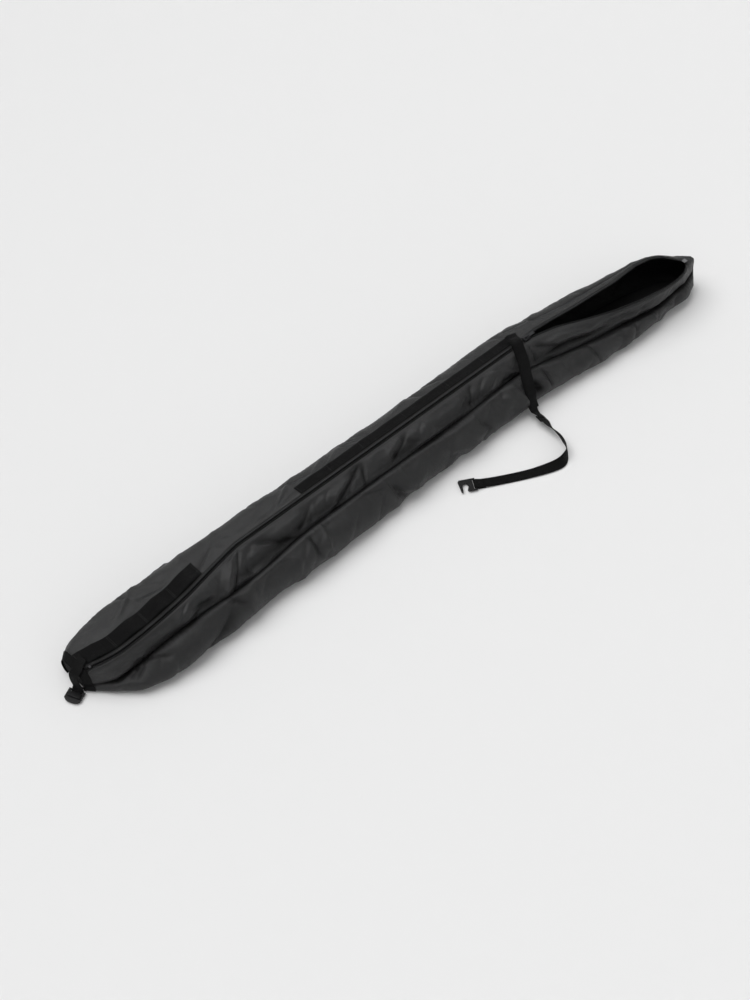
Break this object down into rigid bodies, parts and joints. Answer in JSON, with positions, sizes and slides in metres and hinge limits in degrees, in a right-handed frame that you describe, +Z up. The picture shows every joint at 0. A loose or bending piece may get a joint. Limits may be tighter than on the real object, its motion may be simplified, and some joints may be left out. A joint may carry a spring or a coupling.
{
  "type": "ski bag",
  "caption": "Long soft ski bag lying flat, full-length zip open at the nose, side gussets, tail webbing with a ladder buckle and a free strap with a flat hook.",
  "frame": {"origin": "middle of the bag's outline on the floor, without the free strap", "axes": "+X along the bag from the tail to the nose, +Z up, -Y towards the side the free strap lies on"},
  "size_m": [1.8522, 0.3643, 0.1224],
  "materials": {
    "shell_fabric": "coated woven, slight sheen",
    "zip_tape": "matte woven tape",
    "zip_coil": "satin",
    "metal_black": "black enamel",
    "webbing": "matte woven webbing",
    "plastic_black": "fine moulded texture",
    "tab_grey": "matte woven tape"
  },
  "bodies": {
    "shell": {"panel_base": "shell_fabric", "gusset_near": "shell_fabric", "gusset_far": "shell_fabric", "panel_top_near": "shell_fabric", "panel_top_far": "shell_fabric", "tail_end_panel": "shell_fabric", "tail_binding": "webbing", "nose_binding": "webbing", "zip_tape_near": "zip_tape", "zip_tape_far": "zip_tape", "zip_row_near": "zip_coil", "zip_row_far": "zip_coil", "zip_stop_tail": "metal_black", "zip_stop_near": "metal_black", "zip_stop_far": "metal_black", "zip_end_tab": "tab_grey", "ladder_webbing_base": "webbing", "ladder_webbing_loops": "webbing", "mid_webbing": "webbing", "strap_webbing": "webbing", "strap_return_webbing": "webbing", "strap_adjuster": "plastic_black", "tail_web_loop": "webbing"},
    "slider": {"zip_slider": "metal_black"},
    "puller": {"zip_puller": "metal_black"},
    "hook": {"strap_hook": "plastic_black"},
    "buckle": {"tail_buckle": "plastic_black"}
  },
  "joints": [
    {"name": "zip_slide", "type": "slide", "parent": "shell", "child": "slider", "axis": [-1, 0, 0], "range_m": [0, 0.85]},
    {"name": "puller_swing", "type": "hinge", "parent": "slider", "child": "puller", "pos_m": [0.4241, 0.0158, 0.1118], "axis": [0, -1, 0], "range_deg": [0, 150]},
    {"name": "hook_swing", "type": "hinge", "parent": "shell", "child": "hook", "pos_m": [0.0931, -0.1572, 0.0047], "axis": [0.4924, 0.8704, 0], "range_deg": [0, 110]},
    {"name": "buckle_swing", "type": "hinge", "parent": "shell", "child": "buckle", "pos_m": [-0.8954, 0.0128, 0.0046], "axis": [-0.4226, 0.9063, 0], "range_deg": [0, 80]}
  ]
}
